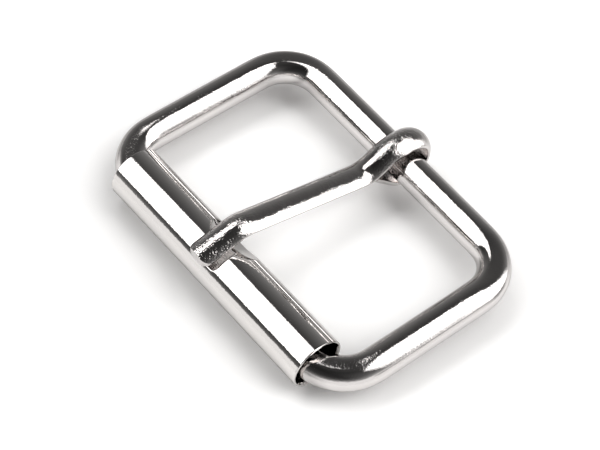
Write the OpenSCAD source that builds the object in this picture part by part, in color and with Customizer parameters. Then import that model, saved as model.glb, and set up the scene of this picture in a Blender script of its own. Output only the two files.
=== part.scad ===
/* [Frame] */
// Thickness of the round wire the frame is bent from
wire_d = 4.45; // [4:0.05:4.8]
// Clear width between the two side wires, which is the strap it takes
strap_w = 40; // [38:0.5:50]
// Distance between the middle lines of the bar and the roller's side, at its nearer end
reach = 28.5; // [27:0.5:32]
// Radius of the four corners, to the middle of the wire
corner_r = 5.9; // [5:0.1:7]
// How far the roller's side is bent out of square, turning the roller with it
skew = 1.4; // [0:0.1:1.6]

/* [Roller] */
// Outside diameter of the rolled sheet tube
roller_d = 7.3; // [7.2:0.05:7.6]
// Thickness of the sheet
sheet = 0.4; // [0.3:0.05:0.45]
// How far the tube stops short of the frame's outside at each end
roller_inset = 6.25; // [6:0.25:8]
// How far the wire lies below the middle of the tube
wire_low = 0.4; // [0.2:0.05:0.4]
// Angle of the open seam, from the top towards the bar
seam_angle = 36; // [30:1:45]
// Width of the open seam
seam_w = 0.16; // [0.1:0.02:0.3]

/* [Dent for the prong] */
// Width of the pressed dent along the roller
dent_w = 4.4; // [4.2:0.1:5]
// Depth of the dent below the top of the roller
dent_depth = 1; // [0.5:0.1:1.1]
// How far the middle of the dent lies off the middle of the roller
dent_off = 0.55; // [0:0.05:0.7]

/* [Prong] */
// Width of the domed strip
prong_w = 3.8; // [3.4:0.1:4]
// Height of the rounded top above the strip's edges
dome = 0.95; // [0.7:0.05:1.1]
// Thickness of the strip's two edges
edge_t = 0.3; // [0.2:0.05:0.4]
// Inside radius of the eye that is curled round the bar
eye_r = 3; // [2.95:0.05:3.1]
// Slope of the shank, rising from the bar to the roller
shank_angle = 12.3; // [12.3:0.1:13]
// Slope of the tip, falling over the roller
tip_angle = 16; // [14:0.5:16]
// Turn of the prong to one side, from its loose fit on the bar
lean = 1.1; // [0:0.1:1.6]
// Radius of the two corners of the tip
tip_corner = 1.2; // [0.8:0.1:1.6]

/* [Hidden] */
$fn = 96;
steel = [0.80, 0.79, 0.78];
bright = [0.86, 0.86, 0.86];
satin = [0.74, 0.73, 0.73];

// Straight runs are thinner than the bends by this, and run this far into them
hair = 0.01;
let_in = 0.2;

// Half sizes of the wire's middle line
half_x = reach / 2;
half_y = (strap_w + wire_d) / 2;
side_x = half_x - corner_r;
side_y = half_y - corner_r;

// How far the roller's wire lies out at its middle, and the tube in from there
wire_out = half_y * tan(skew);
tube_in = 0.45;
// How far the loose tube has slid along the wire
tube_y = -0.12;
tube_x = tube_in - wire_out - half_x;
dent_turn = 5;

// The tube, its middle above the wire's
roller_r = roller_d / 2;
roller_len = 2 * (half_y + wire_d / 2 - roller_inset);
// Easing of the sheet's inner edge at both ends, which clears the wire's bends
ease_wide = 0.16;
ease_deep = 0.35;

// Where the eye's middle lies from the bar's, towards the outside and up
eye_x = 0.3;
eye_z = 0.3;
strip_t = dome + edge_t;
eye_out = eye_r + strip_t;

// Bends of the prong, measured to its flat underside
crown_flat = 1.2;
crown_r = 4;
neck_angle = 30.5;
neck_r = 4;
hook_r = 5;
// Where the shank starts below the eye and ends over the roller, from the bar
neck_x = -5.76;
hook_x = 2.64 - reach;
tip_x = -3.75 - reach;
// Slope of the strip's end as it closes the eye, and the gap it leaves
close_angle = 45;
close_gap = 0.12;

// Tilt at which the roller and the eye both touch the ground
rest_x = half_x + eye_x - tube_x;
rest_z = wire_low - eye_z;
rest_drop = eye_out - roller_r;
lie = asin(rest_drop / norm([rest_x, rest_z])) + atan(rest_z / rest_x);
roller_at = [tube_x * cos(lie) - wire_low * sin(lie), tube_x * sin(lie) + wire_low * cos(lie)];
eye_at = [(half_x + eye_x) * cos(lie) - eye_z * sin(lie), (half_x + eye_x) * sin(lie) + eye_z * cos(lie)];
tube_end_x = roller_at[0] - roller_r - sin(skew) * roller_len / 2;
shift_x = -(tube_end_x + eye_at[0] + eye_out) / 2;
shift_z = roller_r - roller_at[1] + sin(skew) * sin(lie) * roller_len / 2;

// Puts a piece drawn about the middle of the wire's plane on the ground
module lay() {
    translate([shift_x, 0, shift_z]) rotate([0, -lie, 0]) children();
}

// Round bar along Y
module bar_y(d, length) {
    rotate([90, 0, 0]) cylinder(d = d, h = length, center = true);
}

// Corner of the wire on the bar's side, with half the bar and half a side wire
module bar_corner() {
    translate([side_x, side_y, 0]) rotate_extrude(angle = 90) translate([corner_r, 0]) circle(d = wire_d);
    translate([half_x, 0, 0]) rotate([-90, 0, 0]) cylinder(d = wire_d, h = side_y);
    translate([0, half_y, 0]) rotate([0, 90, 0]) cylinder(d = wire_d, h = side_x);
}

// Corner on the roller's side, which turns by a right angle and some more
module roller_corner(more) {
    centre_x = corner_r / cos(more) - side_y * tan(more) - wire_out - half_x;
    translate([centre_x, side_y, 0]) rotate([0, 0, 90]) rotate_extrude(angle = 90 + more)
        translate([corner_r, 0]) circle(d = wire_d);
    translate([centre_x, half_y, 0]) rotate([0, 90, 0]) cylinder(d = wire_d, h = 0.5 - centre_x);
}

module frame() {
    color(steel) lay() {
        bar_corner();
        mirror([0, 1, 0]) bar_corner();
        roller_corner(skew);
        mirror([0, 1, 0]) roller_corner(-skew);
        // the straight wire in the tube, a hair thinner and let into both bends
        translate([-wire_out - half_x, 0, 0]) rotate([0, 0, skew]) translate([0, -corner_r * tan(skew), 0])
            bar_y(wire_d - 2 * hair, 2 * side_y / cos(skew) + 2 * let_in);
    }
}

// Punch that presses the dent, larger by grow all round
module punch(grow) {
    corner = 0.7 + grow;
    half = dent_w / 2 + grow;
    low = roller_r - dent_depth - grow;
    // the straight channel under the prong, turned a little away from the seam
    rotate([0, -dent_turn, 0]) {
        for (side = [-1, 1]) {
            translate([-roller_d, dent_off + side * (half - corner), low + corner]) rotate([0, 90, 0])
                cylinder(r = corner, h = 2 * roller_d);
        }
        translate([-roller_d, dent_off - half + corner, low]) cube([2 * roller_d, 2 * (half - corner), roller_d]);
        translate([-roller_d, dent_off - half, low + corner]) cube([2 * roller_d, 2 * half, roller_d]);
    }
    // the wider hollow where the sheet's free edge gives way
    spread_r = 8;
    spread_fall = 40;
    spread_deep = 1.0;
    rotate([0, seam_angle, 0]) translate([0, dent_off, roller_r - spread_deep + spread_r])
        rotate([0, 90 + spread_fall - seam_angle, 0]) cylinder(r = spread_r + grow, h = 4 * roller_d, center = true);
}

// Tube's solid of radius r with the dent, which stops at the seam
module dented(r, length, grow) {
    difference() {
        bar_y(2 * r, length);
        intersection() {
            punch(grow);
            rotate([0, seam_angle, 0]) translate([-2 * roller_d, -roller_d, 0]) cube(2 * roller_d);
        }
    }
}

// Cone that eases the inner edge at one end, drawn past both its ends
module rim_ease() {
    inside = roller_r - sheet;
    rotate([-90, 0, 0]) translate([0, 0, roller_len / 2 - 2 * ease_deep])
        cylinder(r1 = inside - ease_wide, r2 = inside + 2 * ease_wide, h = 3 * ease_deep);
}

module roller() {
    color(bright) lay() translate([tube_x, tube_y, wire_low]) rotate([0, 0, skew]) difference() {
        dented(roller_r, roller_len, 0);
        dented(roller_r - sheet, roller_len + 1, sheet);
        rim_ease();
        mirror([0, 1, 0]) rim_ease();
        rotate([0, seam_angle, 0]) translate([-seam_w / 2, -roller_len, 0]) cube([seam_w, 2 * roller_len, roller_d]);
    }
}

// Section of the domed strip: flat below, X across its width, thinner all round by less
module strip_section(less) {
    dome_r = (prong_w * prong_w / 4 + dome * dome) / (2 * dome);
    intersection() {
        translate([0, strip_t - dome_r]) circle(r = dome_r - less);
        translate([less - prong_w / 2, less]) square([prong_w - 2 * less, strip_t]);
    }
}

// Runs of the strip along +X with the flat side down. Each draws its children at its end.
// A straight run is a hair thinner than the bends and let into them at both ends
module straight(length) {
    translate([-let_in, 0, 0]) rotate([90, 0, 90]) linear_extrude(length + 2 * let_in) strip_section(hair);
    translate([length, 0, 0]) children();
}

module bend_down(radius, angle) {
    translate([0, 0, -radius]) {
        rotate([90, 0, 0]) rotate([0, 0, 90 - angle]) rotate_extrude(angle = angle)
            translate([radius, 0]) rotate([0, 0, -90]) strip_section(0);
        rotate([0, angle, 0]) translate([0, 0, radius]) children();
    }
}

module bend_up(radius, angle) {
    translate([0, 0, radius]) {
        rotate([90, 0, 0]) rotate([0, 0, 270]) rotate_extrude(angle = angle)
            translate([radius, 0]) rotate([0, 0, 90]) strip_section(0);
        rotate([0, -angle, 0]) translate([0, 0, -radius]) children();
    }
}

// Lengths of the straight runs between the bends
crown_end_x = eye_x - crown_flat - crown_r * sin(neck_angle);
crown_end_z = eye_z + eye_r - crown_r * (1 - cos(neck_angle));
neck_z = crown_end_z - (crown_end_x - neck_x) * tan(neck_angle);
neck_cut = neck_r * tan((neck_angle + shank_angle) / 2);
hook_cut = hook_r * tan((shank_angle + tip_angle) / 2);
neck_len = (crown_end_x - neck_x) / cos(neck_angle) - neck_cut;
shank_len = (neck_x - hook_x) / cos(shank_angle) - neck_cut - hook_cut;
tip_len = (hook_x - tip_x) / cos(tip_angle) - hook_cut;
// Length of the strip's end, up to just below the neck
close_x = eye_x - eye_r * sin(close_angle);
close_z = eye_z - eye_r * cos(close_angle);
close_rise = crown_end_z - (crown_end_x - close_x) * tan(neck_angle) - close_gap - close_z;
close_len = close_rise / (sin(close_angle) + cos(close_angle) * tan(neck_angle));

// Outline of the whole strip seen from above, with the tip's corners rounded
module strip_plan() {
    span = prong_w / 2 - tip_corner;
    translate([tip_x + tip_corner, -prong_w]) square([2 * reach, 2 * prong_w]);
    translate([tip_x, -span]) square([2 * tip_corner, 2 * span]);
    for (side = [-1, 1]) {
        translate([tip_x + tip_corner, side * span]) circle(r = tip_corner);
    }
}

module prong() {
    color(satin) lay() translate([half_x, 0, 0]) rotate([0, 0, -lean]) intersection() {
        translate([eye_x, 0, eye_z + eye_r]) {
            mirror([1, 0, 0]) straight(crown_flat) bend_down(crown_r, neck_angle) straight(neck_len)
                bend_up(neck_r, neck_angle + shank_angle) straight(shank_len)
                bend_down(hook_r, shank_angle + tip_angle) straight(tip_len);
            bend_down(eye_r, 180 + close_angle) straight(close_len - let_in);
        }
        translate([0, 0, -reach]) linear_extrude(2 * reach) strip_plan();
    }
}

frame();
roller();
prong();
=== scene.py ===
# %% [markdown]
# # A roller buckle in bright nickel plate
# The buckle has three pieces: a frame bent from round wire, a roller rolled from thin sheet round one
# side of it, and a prong curled round the opposite bar. Each is hard metal, so nothing here is
# simulated. Each mesh is swept from the sizes that a maker would name, because mirror-bright plate
# shows every facet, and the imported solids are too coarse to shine.

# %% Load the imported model
import math

import bmesh
import bpy
import numpy as np
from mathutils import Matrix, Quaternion, Vector


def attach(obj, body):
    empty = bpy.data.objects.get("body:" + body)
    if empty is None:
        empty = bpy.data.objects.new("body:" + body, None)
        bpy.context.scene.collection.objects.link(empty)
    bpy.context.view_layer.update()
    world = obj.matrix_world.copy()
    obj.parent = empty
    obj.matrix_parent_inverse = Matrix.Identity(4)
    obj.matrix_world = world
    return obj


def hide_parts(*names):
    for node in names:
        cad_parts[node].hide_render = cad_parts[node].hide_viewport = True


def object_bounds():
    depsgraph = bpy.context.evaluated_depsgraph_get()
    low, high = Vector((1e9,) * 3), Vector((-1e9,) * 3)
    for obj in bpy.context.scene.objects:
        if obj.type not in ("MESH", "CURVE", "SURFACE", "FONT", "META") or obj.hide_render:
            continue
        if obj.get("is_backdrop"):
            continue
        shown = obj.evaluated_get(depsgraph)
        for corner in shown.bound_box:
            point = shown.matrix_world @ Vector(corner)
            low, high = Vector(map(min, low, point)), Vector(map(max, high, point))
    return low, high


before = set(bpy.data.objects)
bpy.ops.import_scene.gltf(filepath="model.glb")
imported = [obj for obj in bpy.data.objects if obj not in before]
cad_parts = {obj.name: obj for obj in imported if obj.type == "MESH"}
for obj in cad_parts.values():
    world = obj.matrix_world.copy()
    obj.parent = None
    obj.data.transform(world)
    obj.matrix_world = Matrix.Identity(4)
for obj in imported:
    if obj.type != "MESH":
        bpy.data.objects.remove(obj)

cad_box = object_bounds()
print("packed box in mm:", [round(1000 * v, 2) for corner in cad_box for v in corner])

# %% [markdown]
# ## How the buckle lies
# The sizes are drawn in the flat plane of the bent wire, in millimetres: X from the roller to the
# bar, Y along them. The buckle rests on its roller and on the prong's eye, and the eye is thicker, so
# that plane is tilted a little. How much follows from the sizes of the wire, the roller and the eye,
# so these few come first.

# %% Sizes that decide how the buckle lies
WIRE_THICK, STRAP_WIDE, REACH = 4.45, 40.0, 28.5
WIRE = WIRE_THICK / 2
HALF_X, HALF_Y = REACH / 2, (STRAP_WIDE + WIRE_THICK) / 2
SKEW = math.radians(1.4)
WIRE_OUT = HALF_Y * math.tan(SKEW)
TUBE, TUBE_INSET = 7.3 / 2, 6.25
TUBE_LONG = 2 * (HALF_Y + WIRE - TUBE_INSET)
TUBE_IN, TUBE_Y, WIRE_LOW = 0.45, -0.12, 0.4
TUBE_AT = (TUBE_IN - WIRE_OUT - HALF_X, TUBE_Y, WIRE_LOW)
DOME, EDGE = 0.95, 0.3
STRIP = DOME + EDGE
EYE_R, EYE_AT = 3.0, (0.3, 0.3)
print("roller length in mm:", round(TUBE_LONG, 2), "and eye across in mm:", 2 * (EYE_R + STRIP))

# %% [markdown]
# ## Tilt and place
# Seen from the side, the ground is the line that touches two circles from below: the roller and the
# eye. Its slope is the tilt. The part is then slid so that its middle is over the origin, and lifted
# until it stands on the ground. `lay` does all three to the points of a piece and turns millimetres
# into Blender's metres.

# %% Tilt and place of the wire's plane
eye_x, eye_z, eye_out = HALF_X + EYE_AT[0], EYE_AT[1], EYE_R + STRIP
rest_x, rest_z = eye_x - TUBE_AT[0], TUBE_AT[2] - eye_z
TILT = math.asin((eye_out - TUBE) / math.hypot(rest_x, rest_z)) + math.atan(rest_z / rest_x)
tube_x = TUBE_AT[0] * math.cos(TILT) - TUBE_AT[2] * math.sin(TILT)
tube_z = TUBE_AT[0] * math.sin(TILT) + TUBE_AT[2] * math.cos(TILT)
laid_eye_x = eye_x * math.cos(TILT) - eye_z * math.sin(TILT)
skew_reach = math.sin(SKEW) * TUBE_LONG / 2
SLIDE = -(tube_x - TUBE - skew_reach + laid_eye_x + eye_out) / 2
LIFT = TUBE - tube_z + skew_reach * math.sin(TILT)


def lay(points):
    points = np.asarray(points, float)
    x, y, z = points[..., 0], points[..., 1], points[..., 2]
    c, s = math.cos(TILT), math.sin(TILT)
    return np.stack([x * c - z * s + SLIDE, y, x * s + z * c + LIFT], -1) / 1000


print("the plane rises by", round(REACH * math.sin(TILT), 2), "mm from roller to bar")

# %% [markdown]
# ## The camera
# A long lens at about a hand's length gives the same small perspective as the photograph. It looks
# down at a bit over 50 degrees from the roller's near end, and is rolled a few degrees.

# %% Camera
CAMERA_AT = Vector((-0.097529, -0.100686, 0.185129))
LOOKS_AT = Vector((-0.001068, 0.001189, 0.0))
ROLL = math.radians(6.5825)

camera_data = bpy.data.cameras.new("camera")
camera_data.lens = 108.715
camera_data.sensor_width = 36.0
camera_data.clip_start, camera_data.clip_end = 0.01, 20.0
camera = bpy.data.objects.new("camera", camera_data)
camera.location = CAMERA_AT
camera.rotation_mode = "QUATERNION"
level = (LOOKS_AT - CAMERA_AT).to_track_quat("-Z", "Y")
camera.rotation_quaternion = level @ Quaternion((0, 0, 1), ROLL)
bpy.context.scene.collection.objects.link(camera)
bpy.context.scene.camera = camera
print("camera distance in mm:", round(1000 * (LOOKS_AT - CAMERA_AT).length, 1))

# %% [markdown]
# ## A skin over rings of points
# All three pieces are long things with a changing section. One helper takes the sections as rings of
# points and joins each ring to the next with four-sided faces. A curve object with a bevel could do
# the wire, but not the dented sheet or the prong's domed section. An open piece gets its two ends
# closed: the prong by one flat face each, the sheet by a strip between its outer and inner face.


# %% Skin helper: faces between rings
def ring_faces(index, wrap, cap):
    """Faces over rings of point numbers, and how many of them are sides and not ends."""
    first = index if wrap else index[:-1]
    after = np.roll(index, -1, 0) if wrap else index[1:]
    sides = np.stack([first, np.roll(first, -1, 1), np.roll(after, -1, 1), after], -1)
    faces = sides.reshape(-1, 4).tolist()
    side_count = len(faces)
    if cap == "fan":
        faces += [index[0][::-1].tolist(), index[-1].tolist()]
    if cap == "strip":
        last = index.shape[1] - 1
        for ring, turn in ((index[0], -1), (index[-1], 1)):
            for k in range(last // 2):
                faces.append([ring[k], ring[k + 1], ring[last - 1 - k], ring[last - k]][::turn])
    return faces, side_count


# %% [markdown]
# ## The map of a skin
# The helper also writes a UV map in millimetres, along the piece and round it, so that a finish can
# follow the metal's own direction. A skin that encloses a negative volume is inside out, and is
# flipped.


# %% Skin helper: mesh with a map
def skin(name, rings, run, girth, wrap=False, cap=None):
    count, around = rings.shape[:2]
    faces, side_count = ring_faces(np.arange(count * around).reshape(count, around), wrap, cap)
    mesh = bpy.data.meshes.new(name)
    mesh.from_pydata(rings.reshape(-1, 3).tolist(), [], faces)
    mesh.validate()
    corner = np.zeros(len(mesh.loops), np.int32)
    mesh.loops.foreach_get("vertex_index", corner)
    run_and_girth = np.stack([np.repeat(run, around)[corner], np.tile(girth, count)[corner]], -1)
    uv = mesh.uv_layers.new(name="metal_run")
    uv.data.foreach_set("uv", run_and_girth.astype(np.float32).ravel())
    smooth = np.ones(len(mesh.polygons), bool)
    smooth[side_count:] = False
    mesh.polygons.foreach_set("use_smooth", smooth)
    mesh.update()
    solid = bmesh.new()
    solid.from_mesh(mesh)
    if solid.calc_volume(signed=True) < 0:
        mesh.flip_normals()
    volume = round(1e9 * solid.calc_volume(), 1)
    solid.free()
    print(name, "has", len(mesh.polygons), "faces and holds", volume, "cubic mm")
    piece = bpy.data.objects.new(name, mesh)
    bpy.context.scene.collection.objects.link(piece)
    return piece


# %% [markdown]
# ## Soft bends
# A tool bends wire into an arc that eases in and out, and a mirror shows it. `spaced` puts points at
# even steps along a line, and `ease` runs a short average along them.


# %% Even steps and easing
def spaced(line, step, closed):
    """Points at even steps along a line, each one's distance from the start, and the whole length."""
    full = np.concatenate([line, line[:1]]) if closed else line
    run = np.concatenate([[0], np.cumsum(np.linalg.norm(np.diff(full, axis=0), axis=1))])
    count = max(2, round(run[-1] / step))
    at = np.linspace(0, run[-1], count + (0 if closed else 1), endpoint=not closed)
    return np.stack([np.interp(at, run, full[:, k]) for k in range(line.shape[1])], -1), at, run[-1]


def ease(line, step, width, closed):
    reach = max(1, int(3 * width / step))
    weight = np.exp(-0.5 * (np.arange(-reach, reach + 1) * step / width) ** 2)
    weight /= weight.sum()
    if closed:
        long = np.concatenate([line[-reach:], line, line[:reach]])
    else:
        before = line[0] - np.outer(np.arange(reach, 0, -1), line[1] - line[0])
        beyond = line[-1] + np.outer(np.arange(1, reach + 1), line[-1] - line[-2])
        long = np.concatenate([before, line, beyond])
    return np.stack([np.convolve(long[:, k], weight, "valid") for k in range(line.shape[1])], -1)


# %% [markdown]
# ## An uneven surface
# Tumbling and plating leave the surface a little wavy, and straight reflections waver with it. The
# waves are long beside the steps between the points, so the mesh itself can carry them, and bump is
# left for the finer marks. `waves` adds up a few seeded sine waves, so that the surface is the same
# in every run.

# %% Waves
WAVES = 14


def waves(along, round_angle, height, shortest, longest, seed, whole=None):
    """Heights over a surface. A piece that closes on itself gives its whole length."""
    rng = np.random.default_rng(seed)
    total = np.zeros(np.broadcast(along, round_angle).shape)
    for _ in range(WAVES):
        length = rng.uniform(shortest, longest)
        if whole:
            length = whole / max(1, round(whole / length))
        turns = rng.integers(-3, 4)
        total += np.sin(math.tau * along / length + turns * round_angle + rng.uniform(0, 6.28))
    return height * total / math.sqrt(WAVES / 2)


# %% [markdown]
# ## The frame's line
# The frame is one ring of 4.45 mm wire. Three sides are square to each other. The side inside the
# roller is bent 1.4 degrees out of square, as the photograph shows, so its two corners turn by a
# little more and a little less than a right angle. The line is drawn with straight runs and arcs,
# because that is how the real wire is bent.

# %% Frame: corners
CORNER = 5.9
SIDE_X, SIDE_Y = HALF_X - CORNER, HALF_Y - CORNER
quarter = math.pi / 2


def bend(centre_x, centre_y, start, turn):
    angle = np.radians(start) + np.linspace(0, turn, 60)
    return np.stack([centre_x + CORNER * np.cos(angle), centre_y + CORNER * np.sin(angle)], -1)


def roller_bend_x(more):
    return CORNER / math.cos(more) - SIDE_Y * math.tan(more) - WIRE_OUT - HALF_X


corners = [
    bend(SIDE_X, -SIDE_Y, -90, quarter),
    bend(SIDE_X, SIDE_Y, 0, quarter),
    bend(roller_bend_x(SKEW), SIDE_Y, 90, quarter + SKEW),
    bend(roller_bend_x(-SKEW), -SIDE_Y, 180 + math.degrees(SKEW), quarter - SKEW),
]
corner_turns = [round(math.degrees(quarter + more), 1) for more in (0, 0, SKEW, -SKEW)]
print("turn of each corner in degrees:", corner_turns)

# %% Frame: middle line of the wire
DRAWN_STEP, DRAWN_EASE = 0.05, 0.55
WIRE_STEP, WIRE_EASE = 0.16, 0.3
wire_line, _, _ = spaced(np.concatenate(corners), DRAWN_STEP, True)
wire_line = ease(wire_line, DRAWN_STEP, DRAWN_EASE, True)
wire_line, wire_run, wire_length = spaced(wire_line, WIRE_STEP, True)
wire_line = ease(wire_line, WIRE_STEP, WIRE_EASE, True)
print("wire length in mm:", round(wire_length, 1), "with", len(wire_line), "sections")

# %% [markdown]
# ## The frame's skin
# At each point of the line a round section stands square to it. In each bend the section is pressed
# a little flat above and below, as the bending tool leaves it, and drawn in by a few hundredths on
# the outside, where the wire stretches. These small changes are what the four corners' reflections
# show. How far a point is into a bend is measured by how fast the line turns there.

# %% Frame: how much the wire is bent at each point
BENT_EASE = 1.5
along_wire = np.roll(wire_line, -1, 0) - np.roll(wire_line, 1, 0)
along_wire /= np.linalg.norm(along_wire, axis=1)[:, None]
heading = np.unwrap(np.arctan2(along_wire[:, 1], along_wire[:, 0]))
turning = np.gradient(heading, wire_run)
bent = ease(np.clip(turning * CORNER, 0, 1)[:, None], WIRE_STEP, BENT_EASE, True)
print("share of the wire that is bent:", round(float(bent.mean()), 2))

# %% Frame: swept wire
WIRE_POINTS = 104
STRETCHED, PRESSED, PRESS_SOFT = 0.05, 0.16, 0.07
outward = np.stack([along_wire[:, 1], -along_wire[:, 0]], -1)
wire_angle = np.linspace(0, math.tau, WIRE_POINTS, endpoint=False)
uneven = waves(
    wire_run[:, None], wire_angle[None], height=0.0018, shortest=2.5, longest=9, seed=5, whole=wire_length
)
radius = WIRE - STRETCHED * bent * np.clip(np.cos(wire_angle), 0, 1) ** 2 + uneven
across = radius * np.cos(wire_angle)
height = radius * np.sin(wire_angle)
over = np.abs(height) - (WIRE - PRESSED * bent)
height = height - np.sign(height) * PRESS_SOFT * np.log1p(np.exp(over / PRESS_SOFT)) * bent
wire_rings = np.stack(
    [wire_line[:, :1] + across * outward[:, :1], wire_line[:, 1:] + across * outward[:, 1:], height], -1
)
wire_frame = skin("frame_wire", lay(wire_rings), wire_run, wire_angle * WIRE, wrap=True)
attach(wire_frame, "frame")
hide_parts("frame")

# %% [markdown]
# ## The roller's shape
# The roller is a strip of 0.4 mm sheet rolled into a tube, with its two edges almost meeting in an
# open seam on the side towards the bar. A punch has pressed a channel for the prong's tip across
# the top, and the free edge has given way into a wider hollow there. The distance from the tube's
# middle to the surface is worked out for each direction, as the least of three: the tube, the
# channel and the hollow. A soft minimum rounds the creases between them as bent sheet is rounded.
# The photograph's reflections also show that the upper edge of the sheet is curled in a little more
# than the rest of the tube.

# %% Roller: sizes
SHEET = 0.4
SEAM, SEAM_WIDE = math.radians(36), 0.16
DENT_Y, DENT_HALF, DENT_DEEP, DENT_EDGE = 0.55, 2.2, 1.0, 0.7
DENT_TURN = math.radians(5)
DENT_WALL, CREASE = 20, 0.035
HOLLOW, HOLLOW_DEEP, HOLLOW_FALL = 8.0, 1.0, math.radians(4)
LIP_FROM, LIP_FALL, LIP_CURVE = math.radians(-42), 0.08, 1.8
print("sheet in mm:", round(math.tau * (TUBE - SHEET / 2) - SEAM_WIDE, 1), "by", round(TUBE_LONG, 1))


# %% Roller: distance from its middle to the outer surface
def tube_radius(angle, y):
    off = np.abs(y - DENT_Y)
    into_edge = np.clip(off - (DENT_HALF - DENT_EDGE), 0, DENT_EDGE)
    floor = TUBE - DENT_DEEP + DENT_EDGE - np.sqrt(np.clip(DENT_EDGE**2 - into_edge**2, 0, None))
    floor = floor + DENT_WALL * np.clip(off - DENT_HALF, 0, None)
    channel = floor / np.clip(np.cos(angle + DENT_TURN), 0.05, 1)
    low = (TUBE - HOLLOW_DEEP + HOLLOW) * math.cos(HOLLOW_FALL)
    low = low - np.sqrt(np.clip(HOLLOW**2 - off**2, 0, None))
    hollow = low / np.clip(np.cos(angle - SEAM - HOLLOW_FALL), 0.05, 1)
    lip = LIP_FALL * np.clip((angle - LIP_FROM) / (SEAM - LIP_FROM), 0, 1) ** LIP_CURVE
    parts = np.stack([TUBE - lip, channel, hollow - lip])
    least = parts.min(0)
    return least - CREASE * np.log(np.exp(-(parts - least) / CREASE).sum(0))


dent_floor = tube_radius(np.array(0.0), np.array(DENT_Y))
print("floor of the dent, from the tube's middle:", round(float(dent_floor), 2))

# %% [markdown]
# ## The roller's grid of points
# The grid has small steps at the dent, the rims and the seam, where the shape turns, and large ones
# elsewhere. A fine grid all over would look the same and be several times as heavy.

# %% Roller: spacing of the points
EDGE_ROUND = 0.1
DENT_FROM, DENT_REACH, RIM_ZONE = math.radians(-62), 4.4, 0.5


def near_edge(span, count=6):
    """Distances from an edge that get closer together towards it."""
    return span * (1 - np.cos(np.linspace(0, quarter, count)))


edge_turn = EDGE_ROUND / TUBE
low_edge = SEAM - math.tau + SEAM_WIDE / 2 / TUBE
high_edge = SEAM - SEAM_WIDE / 2 / TUBE
sheet_angle = np.concatenate(
    [
        low_edge + near_edge(edge_turn),
        np.linspace(low_edge + edge_turn, DENT_FROM, 92)[1:],
        np.linspace(DENT_FROM, high_edge - edge_turn, 96)[1:-1],
        high_edge - near_edge(edge_turn)[::-1],
    ]
)
half_long = TUBE_LONG / 2
tube_y = np.concatenate(
    [
        -half_long + near_edge(EDGE_ROUND),
        np.linspace(-half_long + EDGE_ROUND, -half_long + RIM_ZONE, 5)[1:],
        np.linspace(-half_long + RIM_ZONE, DENT_Y - DENT_REACH, 30)[1:],
        np.linspace(DENT_Y - DENT_REACH, DENT_Y + DENT_REACH, 112)[1:],
        np.linspace(DENT_Y + DENT_REACH, half_long - RIM_ZONE, 28)[1:],
        np.linspace(half_long - RIM_ZONE, half_long - EDGE_ROUND, 5)[1:-1],
        half_long - near_edge(EDGE_ROUND)[::-1],
    ]
)
print("roller points:", len(sheet_angle), "round by", len(tube_y), "along")

# %% [markdown]
# ## The roller's two faces
# The sheet gets its outer face, its inner face 0.4 mm below it, and rounded edges at the seam and at
# both rims, because a sheared and tumbled edge catches a thin bright line. A solidify modifier would
# give the thickness, but not these edges. The rims' inner edge is eased further, so that the roller
# turns clear of the wire's bends.

# %% Roller: outer surface and the way into the sheet
angle, y = np.meshgrid(sheet_angle, tube_y)
outer_r = tube_radius(angle, y) + waves(y, angle, height=0.0016, shortest=5, longest=16, seed=11)
surface = np.stack([outer_r * np.sin(angle), y, outer_r * np.cos(angle)], -1)
normal = np.cross(np.gradient(surface, axis=1), np.gradient(surface, axis=0))
normal /= np.linalg.norm(normal, axis=-1)[..., None]
to_seam = np.minimum(sheet_angle - sheet_angle[0], sheet_angle[-1] - sheet_angle)[None] * TUBE
to_rim = (half_long - np.abs(tube_y))[:, None]
print("roller's surface from its middle in mm:", [round(float(r), 2) for r in (outer_r.min(), outer_r.max())])

# %% Roller: outer and inner face of the sheet
RIM_EASE, RIM_EASE_LONG = 0.16, 0.35


def round_off(distance, span):
    """How far a surface drops at this distance from a rounded edge."""
    inside = np.clip(span - distance, 0, span)
    return span - np.sqrt(span**2 - inside**2)


def turned(points, angle):
    """Points turned about the upright axis."""
    x, y, z = points[..., 0], points[..., 1], points[..., 2]
    c, s = math.cos(angle), math.sin(angle)
    return np.stack([x * c - y * s, x * s + y * c, z], -1)


outer_drop = np.maximum(round_off(to_seam, EDGE_ROUND), round_off(to_rim, EDGE_ROUND))
rim_drop = RIM_EASE * np.clip(1 - to_rim / RIM_EASE_LONG, 0, 1)
inner_drop = np.maximum(round_off(to_seam, EDGE_ROUND), rim_drop)
outer_face = surface - normal * outer_drop[..., None]
inner_face = surface - normal * (SHEET - inner_drop)[..., None]
sheet_rings = turned(np.concatenate([outer_face, inner_face[:, ::-1]], 1), SKEW) + TUBE_AT
print("rings of the sheet:", sheet_rings.shape[0], "with", sheet_rings.shape[1], "points each")

# %% [markdown]
# ## The roller's mesh
# Each ring runs along the outer face from seam to seam and back along the inner face. The inner
# face's part of the map is moved away by 20 radians, so that the two faces don't share their marks.

# %% Roller: rolled sheet
INSIDE_MAP = 20
girth = np.concatenate([sheet_angle, sheet_angle[::-1] + INSIDE_MAP]) * TUBE
sheet_roller = skin("roller_sheet", lay(sheet_rings), tube_y, girth, cap="strip")
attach(sheet_roller, "roller")
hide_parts("roller")

# %% [markdown]
# ## The prong's line
# The prong is a forged strip, flat below and domed above. Its end is curled round the bar into an
# eye, then it comes down a neck, rises along a straight shank and falls over the roller. The line of
# its flat underside is drawn as the real strip is bent: straight runs and bends one after another,
# starting on top of the eye and going both ways. The runs' lengths follow from where the neck, the
# hook and the tip are.

# %% Prong: sizes
PRONG_WIDE = 3.8
CROWN_FLAT, CROWN_R, NECK_R, HOOK_R = 1.2, 4.0, 4.0, 5.0
NECK, SHANK, TIP = math.radians(30.5), math.radians(12.3), math.radians(16)
NECK_X, HOOK_X, TIP_X = -5.76, 2.64 - REACH, -3.75 - REACH

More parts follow.
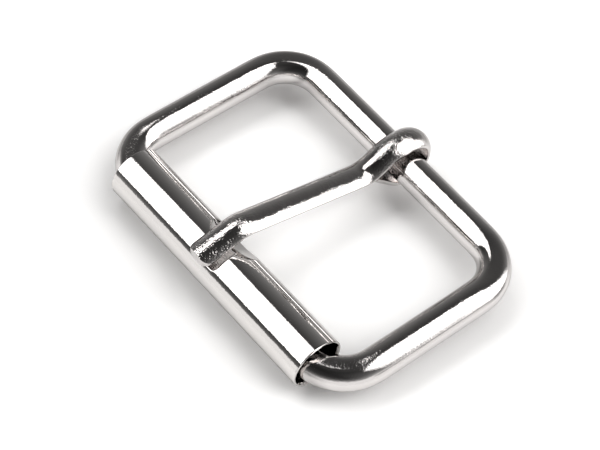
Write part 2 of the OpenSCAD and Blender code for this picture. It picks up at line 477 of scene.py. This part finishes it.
crown_end_x = EYE_AT[0] - CROWN_FLAT - CROWN_R * math.sin(NECK)
crown_end_z = EYE_AT[1] + EYE_R - CROWN_R * (1 - math.cos(NECK))
neck_cut = NECK_R * math.tan((NECK + SHANK) / 2)
hook_cut = HOOK_R * math.tan((SHANK + TIP) / 2)
neck_long = (crown_end_x - NECK_X) / math.cos(NECK) - neck_cut
shank_long = (NECK_X - HOOK_X) / math.cos(SHANK) - neck_cut - hook_cut
tip_long = (HOOK_X - TIP_X) / math.cos(TIP) - hook_cut
print("neck, shank and tip in mm:", round(neck_long, 2), round(shank_long, 2), round(tip_long, 2))

# %% Prong: length of the strip's end inside the eye
CLOSE, CLOSE_GAP = math.radians(45), 0.12
close_x = EYE_AT[0] - EYE_R * math.sin(CLOSE)
close_z = EYE_AT[1] - EYE_R * math.cos(CLOSE)
close_rise = crown_end_z - (crown_end_x - close_x) * math.tan(NECK) - CLOSE_GAP - close_z
close_long = close_rise / (math.sin(CLOSE) + math.cos(CLOSE) * math.tan(NECK))
print("end inside the eye in mm:", round(close_long, 2))

# %% Prong: line of the underside
BEND_STEP, STRIP_EASE, STRIP_STEP = 0.02, 0.3, 0.09


def bent_line(start, way, steps):
    """Points of a line that leaves start along X (way 1 or -1) and falls by each step's turn."""
    x, z, fall = start[0], start[1], 0.0
    points = [(x, z)]
    for length, turn in steps:
        parts = max(2, int(length / BEND_STEP))
        for _ in range(parts):
            fall += turn / parts / 2
            x += way * math.cos(fall) * length / parts
            z -= math.sin(fall) * length / parts
            fall += turn / parts / 2
            points.append((x, z))
    return np.array(points)


top_of_eye = (EYE_AT[0], EYE_AT[1] + EYE_R)
tip_steps = [
    (CROWN_FLAT, 0),
    (CROWN_R * NECK, NECK),
    (neck_long, 0),
    (NECK_R * (NECK + SHANK), -NECK - SHANK),
    (shank_long, 0),
    (HOOK_R * (SHANK + TIP), SHANK + TIP),
    (tip_long, 0),
]
eye_steps = [(EYE_R * (math.pi + CLOSE), math.pi + CLOSE), (close_long, 0)]
to_close, to_tip = bent_line(top_of_eye, 1, eye_steps), bent_line(top_of_eye, -1, tip_steps)
strip_line = np.concatenate([to_close[::-1], to_tip[1:]])
strip_line, _, _ = spaced(strip_line, BEND_STEP, False)
strip_line = ease(strip_line, BEND_STEP, STRIP_EASE, False)
strip_line, strip_run, strip_length = spaced(strip_line, STRIP_STEP, False)
print("strip length in mm:", round(strip_length, 1), "with", len(strip_line), "points")

# %% [markdown]
# ## The prong's section
# The section is flat below, with short upright edges and a round top, and its corners are softly
# rounded by tumbling. Near the tip the strip is cut to a narrower, rounded outline, so the section
# keeps its dome and only its width shrinks. `domed_section` returns the same number of points for
# every width, so the rings join up.

# %% Prong: section
DOME_R = (PRONG_WIDE**2 / 4 + DOME**2) / (2 * DOME)
TOP_ROUND, FOOT_ROUND = 0.16, 0.09


def domed_section(half):
    """Points across and up, for half a width: the right side from the middle below, then the left."""
    dome_z = STRIP - DOME_R
    top_x = half - TOP_ROUND
    top_z = dome_z + math.sqrt((DOME_R - TOP_ROUND) ** 2 - top_x**2)
    lean_at = math.atan2(top_z - dome_z, top_x)
    right = [(x, 0.0) for x in np.linspace(0, half - FOOT_ROUND, 8)]
    for a in np.linspace(-quarter, 0, 4)[1:]:
        right.append((half - FOOT_ROUND + FOOT_ROUND * math.cos(a), FOOT_ROUND + FOOT_ROUND * math.sin(a)))
    for a in np.linspace(0, lean_at, 6):
        right.append((top_x + TOP_ROUND * math.cos(a), top_z + TOP_ROUND * math.sin(a)))
    for a in np.linspace(lean_at, quarter, 14)[1:]:
        right.append((DOME_R * math.cos(a), dome_z + DOME_R * math.sin(a)))
    left = [(-x, z) for x, z in right[-2:0:-1]]
    return np.array(right + left)


full_section = domed_section(PRONG_WIDE / 2)
print("points in the prong's section:", len(full_section))

# %% [markdown]
# ## The prong's sections in place
# The sections ride along the line, square to it. Towards the tip they lean until they stand upright,
# because the strip's end is cut straight down. There they also get narrower, which rounds the tip's
# corners, and at both ends the top draws in by the rounding of the edge.

# %% Prong: places of the sections
TIP_CORNER = 1.2
tip_zone = 1.03 * TIP_CORNER
tangent = np.gradient(strip_line, axis=0)
tangent /= np.linalg.norm(tangent, axis=1)[:, None]
at_end = near_edge(TOP_ROUND)[:-1]
stations = np.concatenate(
    [
        strip_run[(strip_length - strip_run > tip_zone) & (strip_run > TOP_ROUND)],
        strip_length - near_edge(tip_zone, 18),
        strip_length - at_end,
        at_end,
    ]
)
stations = np.unique(stations.round(6))
print("sections of the prong:", len(stations))

# %% Prong: one section
UPRIGHT_FROM, UPRIGHT_LONG = 3.5, 3.0


def prong_ring(at):
    """The section at one place of the line, with X towards the bar and Z up."""
    x, z = np.interp(at, strip_run, strip_line[:, 0]), np.interp(at, strip_run, strip_line[:, 1])
    tx, tz = np.interp(at, strip_run, tangent[:, 0]), np.interp(at, strip_run, tangent[:, 1])
    size = math.hypot(tx, tz)
    tx, tz = tx / size, tz / size
    left = strip_length - at
    section = domed_section(PRONG_WIDE / 2 - round_off(left, TIP_CORNER))
    drop = max(round_off(left, TOP_ROUND), round_off(at, TOP_ROUND))
    height = section[:, 1]
    height = np.where(height > EDGE / 2, height - drop * (height - EDGE / 2) / (STRIP - EDGE / 2), height)
    shear = height * math.tan(TIP) * np.clip((UPRIGHT_FROM - left) / UPRIGHT_LONG, 0, 1)
    return np.stack([x + tz * height - tx * shear, section[:, 0], z - tx * height - tz * shear], -1)


# %% Prong: swept strip
LEAN, ACROSS = math.radians(1.1), 8
rings = np.array([prong_ring(at) for at in stations])
points = rings.shape[1]
side_angle = np.arctan2(np.arange(points) - points / 2, ACROSS)
rings[..., 2] += waves(stations[:, None], side_angle[None], height=0.004, shortest=2, longest=7, seed=23)
prong_rings = turned(rings, -LEAN) + (HALF_X, 0, 0)
section_girth = np.concatenate([[0], np.cumsum(np.linalg.norm(np.diff(full_section, axis=0), axis=1))])
prong_strip = skin("prong_strip", lay(prong_rings), stations, section_girth, cap="fan")
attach(prong_strip, "prong")
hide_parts("prong")

# %% [markdown]
# ## Shader nodes in a line each
# The finishes and the room below are node trees. A few helpers add a node, plug a value or another
# node's output into it, and hand back its output, so that a tree reads like a formula.


# %% Node helpers
def add(tree, kind, **settings):
    node = tree.nodes.new(kind)
    for key, value in settings.items():
        setattr(node, key, value)
    return node


def plug(tree, node, name, value):
    if hasattr(value, "is_output"):
        tree.links.new(value, node.inputs[name])
    else:
        node.inputs[name].default_value = value


def calc(tree, operation, *values):
    node = add(tree, "ShaderNodeMath", operation=operation)
    for place, value in enumerate(values):
        plug(tree, node, place, value)
    return node.outputs[0]


def noise(tree, where, scale, detail=2.0):
    node = add(tree, "ShaderNodeTexNoise")
    plug(tree, node, "Vector", where)
    plug(tree, node, "Scale", scale)
    plug(tree, node, "Detail", detail)
    return node.outputs["Fac"]


def ramp(tree, value, low, high, to_low, to_high):
    """to_low up to low, to_high from high on, and a straight line between."""
    node = add(tree, "ShaderNodeMapRange")
    for name, number in (("From Min", low), ("From Max", high), ("To Min", to_low), ("To Max", to_high)):
        plug(tree, node, name, number)
    plug(tree, node, "Value", value)
    return node.outputs["Result"]


# %% [markdown]
# ## Nickel plate: its surface
# Bright nickel is a warm-tinted mirror. On a cheap cast or drawn part it isn't a perfect one: the
# steel below has drawing marks and small pits, and the plating swells over them like orange peel.
# These show as a ragged edge wherever a bright reflection meets a dark one. They are far too fine for
# the mesh, so they are one bump height, in thousandths of a millimetre: pits that are stronger in
# patches, swells, and marks stretched along the metal. The coordinates are the object's own, in
# metres, so the scales are per metre. The prong's tip and neck are rougher than its shank, because
# the forging was worked there; `worked` says how much. `curl` turns the sheet's shading near its
# upper edge as if it curled in further.

# %% Nickel plate: bump height
TIP_WORKED, NECK_WORKED = (-0.0125, -0.0105), (0.0075, 0.0095)
PATCH_SCALE, PIT_SCALE, SWELL_SCALE = 330, 4200, 900
DRAWN_SCALE, DRAWN_STRETCH = 2.2, (0.12, 1.6, 1.0)
CURL_CURVE = 1.5


def worked_share(tree, own, worked):
    """worked at the prong's tip and neck, 1 along its shank."""
    split = add(tree, "ShaderNodeSeparateXYZ")
    plug(tree, split, 0, own)
    tip = ramp(tree, split.outputs["X"], *TIP_WORKED, worked, 1.0)
    neck = ramp(tree, split.outputs["X"], *NECK_WORKED, 1.0, worked)
    return calc(tree, "MAXIMUM", tip, neck)


def plate_height(tree, place, pits, peel, marks, worked, curl):
    own = place.outputs["Object"]
    patches = ramp(tree, noise(tree, own, PATCH_SCALE), 0.42, 0.62, 0.35, 1.0)
    fine = calc(tree, "MULTIPLY", noise(tree, own, PIT_SCALE, detail=1.0), patches)
    if worked:
        fine = calc(tree, "MULTIPLY", fine, worked_share(tree, own, worked))
    stretch = add(tree, "ShaderNodeMapping")
    stretch.inputs["Scale"].default_value = DRAWN_STRETCH
    plug(tree, stretch, "Vector", place.outputs["UV"])
    drawn = noise(tree, stretch.outputs["Vector"], DRAWN_SCALE, detail=3.0)
    height = calc(tree, "MULTIPLY", fine, pits)
    height = calc(tree, "MULTIPLY_ADD", noise(tree, own, SWELL_SCALE, detail=1.0), peel, height)
    height = calc(tree, "MULTIPLY_ADD", drawn, marks, height)
    if curl:
        flat = add(tree, "ShaderNodeSeparateXYZ")
        plug(tree, flat, 0, place.outputs["UV"])
        share = ramp(tree, flat.outputs["Y"], LIP_FROM * TUBE, SEAM * TUBE, 0.0, 1.0)
        height = calc(tree, "MULTIPLY_ADD", calc(tree, "POWER", share, CURL_CURVE), -curl, height)
    return height


# %% [markdown]
# ## Nickel plate: three finishes
# All three pieces get the same metallic shader with a little change in colour and roughness. The
# wire is drawn smooth, the sheet is smoother still, and the forging is the roughest.

# %% Nickel plate: material
MICROMETRE = 1e-6
SHEEN_SCALE, TINT_SCALE = 700, 160
DARKER = (0.95, 0.96, 0.985)


def nickel(name, tint, rough, pits, peel, marks, worked=0.0, curl=0.0):
    material = bpy.data.materials.new(name)
    material.use_nodes = True
    tree = material.node_tree
    shader = tree.nodes["Principled BSDF"]
    shader.inputs["Metallic"].default_value = 1.0
    place = add(tree, "ShaderNodeTexCoord")
    own = place.outputs["Object"]
    bump = add(tree, "ShaderNodeBump")
    bump.inputs["Strength"].default_value = 1.0
    bump.inputs["Distance"].default_value = MICROMETRE
    plug(tree, bump, "Height", plate_height(tree, place, pits, peel, marks, worked, curl))
    plug(tree, shader, "Normal", bump.outputs["Normal"])
    sheen = noise(tree, own, SHEEN_SCALE)
    plug(tree, shader, "Roughness", ramp(tree, sheen, 0.35, 0.7, rough, rough + 0.05))
    colour = add(tree, "ShaderNodeMix", data_type="RGBA")
    colour.inputs["A"].default_value = (*tint, 1)
    colour.inputs["B"].default_value = (*(part * less for part, less in zip(tint, DARKER)), 1)
    plug(tree, colour, "Factor", noise(tree, own, TINT_SCALE))
    plug(tree, shader, "Base Color", colour.outputs["Result"])
    return material


# %% Nickel plate on the three pieces
STEEL_TINT, SHEET_TINT = (0.72, 0.69, 0.67), (0.74, 0.715, 0.69)
bright_wire = nickel("bright_wire", STEEL_TINT, 0.045, pits=14.0, peel=3.0, marks=1.5)
bright_sheet = nickel("bright_sheet", SHEET_TINT, 0.04, pits=8.0, peel=1.0, marks=1.2, curl=560.0)
bright_forging = nickel("bright_forging", STEEL_TINT, 0.045, pits=34.0, peel=4.0, marks=1.0, worked=2.2)
for piece, metal in ((wire_frame, bright_wire), (sheet_roller, bright_sheet), (prong_strip, bright_forging)):
    piece.data.materials.append(metal)
    print(piece.name, "is plated with", metal.name)

# %% [markdown]
# ## The table
# The buckle lies on a table of white acrylic with a painted glow of its own, which keeps the shadows
# pale. An ambient occlusion node tells how much of the open sky each spot sees, and the glow fades
# where the metal is close. That fade is a painted contact shadow, so that only the nearest shadow is dark.

# %% Table: sheet with a painted glow and a painted contact shadow
TABLE_HALF = 3
floor_corners = [(x * TABLE_HALF, y * TABLE_HALF, 0) for x, y in ((-1, -1), (1, -1), (1, 1), (-1, 1))]
floor_mesh = bpy.data.meshes.new("floor")
floor_mesh.from_pydata(floor_corners, [], [(0, 1, 2, 3)])
floor = bpy.data.objects.new("floor", floor_mesh)
bpy.context.scene.collection.objects.link(floor)
acrylic = bpy.data.materials.new("white_acrylic")
acrylic.use_nodes = True
floor_mesh.materials.append(acrylic)
table = acrylic.node_tree
white = table.nodes["Principled BSDF"]
white.inputs["Base Color"].default_value = (0.96, 0.96, 0.955, 1)
white.inputs["Roughness"].default_value = 0.9
white.inputs["Emission Color"].default_value = (1.0, 0.995, 0.99, 1)
# painted glow and painted contact shadow: the table's emission fades with ambient occlusion near the metal
painted_shade_mask = add(table, "ShaderNodeAmbientOcclusion", samples=16)
painted_shade_mask.inputs["Distance"].default_value = 0.009
plug(table, white, "Emission Strength", ramp(table, painted_shade_mask.outputs["AO"], 0.5, 0.97, 0.05, 0.4))

# %% [markdown]
# ## What the metal sees in the table
# Acrylic also mirrors the bright panels, most of all at a grazing angle, and only metal that looks
# along the table sees that. So for mirrored rays the table is partly clear, the more so at a grazing
# angle, and the sky's lower half shows through. A glossy table would do it too, but it would also
# mirror the buckle to the camera, which the photograph doesn't show.

# %% Table: partly clear for mirrored rays
clear = add(table, "ShaderNodeBsdfTransparent")
blend = add(table, "ShaderNodeMixShader")
grazing = ramp(table, add(table, "ShaderNodeFresnel").outputs[0], 0.08, 0.22, 0.3, 0.68)
mirrored = add(table, "ShaderNodeLightPath").outputs["Is Glossy Ray"]
plug(table, blend, 0, calc(table, "MULTIPLY", mirrored, grazing))
table.links.new(white.outputs[0], blend.inputs[1])
table.links.new(clear.outputs[0], blend.inputs[2])
table.links.new(blend.outputs[0], table.nodes["Material Output"].inputs["Surface"])
floor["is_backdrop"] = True
print("table across in m:", 2 * TABLE_HALF)

# %% [markdown]
# ## The room
# Polished metal shows the room more than itself, so the room is the most important material here.
# The photograph's reflections show two bright panels in a dark room: a narrow one over the roller's
# side, one over the camera's right. Between them, where the camera stands, it is dark, and the dark
# gets lighter towards the table. A world shader can draw all of this by direction alone, with no
# lamps to place. The directions are laid flat first, as a map of the sky is: the point straight up is
# the map's middle and the horizon is a circle of radius 1.

# %% Room: map of the sky
world = bpy.data.worlds.new("two_panel_room")
world.use_nodes = True
bpy.context.scene.world = world
sky = world.node_tree
split = add(sky, "ShaderNodeSeparateXYZ")
plug(sky, split, "Vector", add(sky, "ShaderNodeTexCoord").outputs["Generated"])
up = split.outputs["Z"]
shrink = calc(sky, "ADD", calc(sky, "MAXIMUM", up, -0.9), 1.0)
map_x = calc(sky, "DIVIDE", split.outputs["X"], shrink)
map_y = calc(sky, "DIVIDE", split.outputs["Y"], shrink)
from_top = calc(sky, "SQRT", calc(sky, "MULTIPLY_ADD", map_x, map_x, calc(sky, "MULTIPLY", map_y, map_y)))

# %% [markdown]
# ## The two panels
# On the map each panel is a shape with straight edges, and each edge is one sum: positive inside,
# negative outside. The least of its edges says whether a direction is inside a panel. The greater of
# two edges makes a corner that points inwards.

# %% Room: panels
PANEL_LIGHT, PANEL_SOFT = 3.3, 0.025


def edge(x_part, y_part, start):
    """Positive on the inner side of a straight edge of the map."""
    return calc(sky, "MULTIPLY_ADD", map_x, x_part, calc(sky, "MULTIPLY_ADD", map_y, y_part, start))


def all_of(edges):
    inside = edges[0]
    for one in edges[1:]:
        inside = calc(sky, "MINIMUM", inside, one)
    return ramp(sky, inside, -PANEL_SOFT, PANEL_SOFT, 0.0, 1.0)


roller_panel_right = calc(sky, "MAXIMUM", edge(-1, -1, 0.41), edge(-1, -0.2, -0.02))
roller_panel_low = calc(sky, "MINIMUM", edge(0, 0.5, -0.085), edge(-0.2, 0.5, -0.05))
roller_panel_sides = [edge(-1, 0.35, 0.06), edge(1.4, -0.63, 1.12), edge(-0.15, -1, 0.35)]
roller_panel = all_of([roller_panel_low, roller_panel_right, *roller_panel_sides])
right_panel_top = calc(sky, "MAXIMUM", edge(-0.04, -0.25, -0.042), edge(-1, -1, 0.24))
right_panel = all_of([edge(1, -0.31, -0.145), edge(0.24, 0.19, 0.045), right_panel_top])
lit = calc(sky, "MAXIMUM", roller_panel, right_panel)
print("light of a panel, with white paper as 1:", PANEL_LIGHT)

# %% [markdown]
# ## The dark part of the room
# The dark is deepest overhead and towards the roller. It gets lighter down to the horizon, most of
# all towards the buckle's near end and past the roller's far end. `side` is a soft wedge of the map,
# towards one compass direction.


# %% Room: above the table
def side(degrees, half_width, soft):
    """1 towards one compass side of the room, 0 elsewhere."""
    way = math.radians(degrees)
    facing = calc(sky, "MULTIPLY_ADD", map_x, math.cos(way), calc(sky, "MULTIPLY", map_y, math.sin(way)))
    facing = calc(sky, "DIVIDE", facing, calc(sky, "MAXIMUM", from_top, 0.001))
    start, full = math.radians(half_width + soft), math.radians(half_width - soft)
    return ramp(sky, facing, math.cos(start), math.cos(full), 0.0, 1.0)


overhead = ramp(sky, map_x, -0.35, 0.05, 0.025, 0.1)
overhead = calc(sky, "MULTIPLY", overhead, ramp(sky, from_top, 0.26, 0.72, 0.5, 1.7))
horizon = ramp(sky, calc(sky, "DIVIDE", map_y, from_top), 0.1, -0.8, 0.16, 0.62)
horizon = calc(sky, "MULTIPLY_ADD", side(127, half_width=21, soft=5), 0.5, horizon)
horizon = calc(sky, "MULTIPLY_ADD", side(-72, half_width=14, soft=8), 0.25, horizon)
near_horizon = calc(sky, "POWER", ramp(sky, from_top, 0.55, 1.0, 0.0, 1.0), 3.0)
dark = calc(sky, "MULTIPLY_ADD", near_horizon, horizon, overhead)
above = calc(sky, "MULTIPLY_ADD", lit, calc(sky, "SUBTRACT", PANEL_LIGHT, dark), dark)

# %% [markdown]
# ## Below the horizon
# The sky's lower half is what the partly clear table shows to the metal. It is bright towards the
# buckle's near end and past the roller's far end, and dark elsewhere. Two dark sills near the bar's
# near end cut its upper edge.

# %% Room: below the table
bright_sides = calc(sky, "MAXIMUM", side(-85, half_width=73, soft=14), side(140, half_width=30, soft=8))
below = calc(sky, "MULTIPLY_ADD", bright_sides, 0.95, 0.05)
near_sill = calc(sky, "MULTIPLY", side(-66, half_width=12, soft=6), ramp(sky, up, -0.16, -0.10, 0.0, 1.0))
far_sill = calc(sky, "MULTIPLY", side(-42, half_width=14, soft=6), ramp(sky, up, -0.34, -0.26, 0.0, 1.0))
sill = calc(sky, "MAXIMUM", near_sill, far_sill)
below = calc(sky, "MULTIPLY", below, calc(sky, "SUBTRACT", 1.0, sill))
glow = add(sky, "ShaderNodeMix", data_type="FLOAT")
plug(sky, glow, "Factor", ramp(sky, up, -0.03, 0.01, 0.0, 1.0))
plug(sky, glow, "A", below)
plug(sky, glow, "B", above)

# %% [markdown]
# ## What the camera sees beyond the table
# The room lights the table and shows in the metal, but the camera itself doesn't see it. Where it
# looks past the table's edge it sees plain pale paper. The standard view transform keeps the paper
# white and the reflections hard.

# %% Room: background and view
PAPER = 0.95
seen = add(sky, "ShaderNodeMix", data_type="FLOAT")
plug(sky, seen, "Factor", add(sky, "ShaderNodeLightPath").outputs["Is Camera Ray"])
plug(sky, seen, "A", glow.outputs["Result"])
plug(sky, seen, "B", PAPER)
background = sky.nodes["Background"]
background.inputs["Color"].default_value = (1.0, 0.99, 0.985, 1)
plug(sky, background, "Strength", seen.outputs["Result"])
bpy.context.scene.view_settings.view_transform = "Standard"
bpy.context.scene.view_settings.look = "None"
print("nodes in the room:", len(sky.nodes))

# %% [markdown]
# ## Finish
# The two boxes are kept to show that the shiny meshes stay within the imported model's size.

# %% Finish
visual_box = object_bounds()
growth = 1000 * (np.array(visual_box) - np.array(cad_box))
print("box grows by mm:", growth.round(3).tolist())
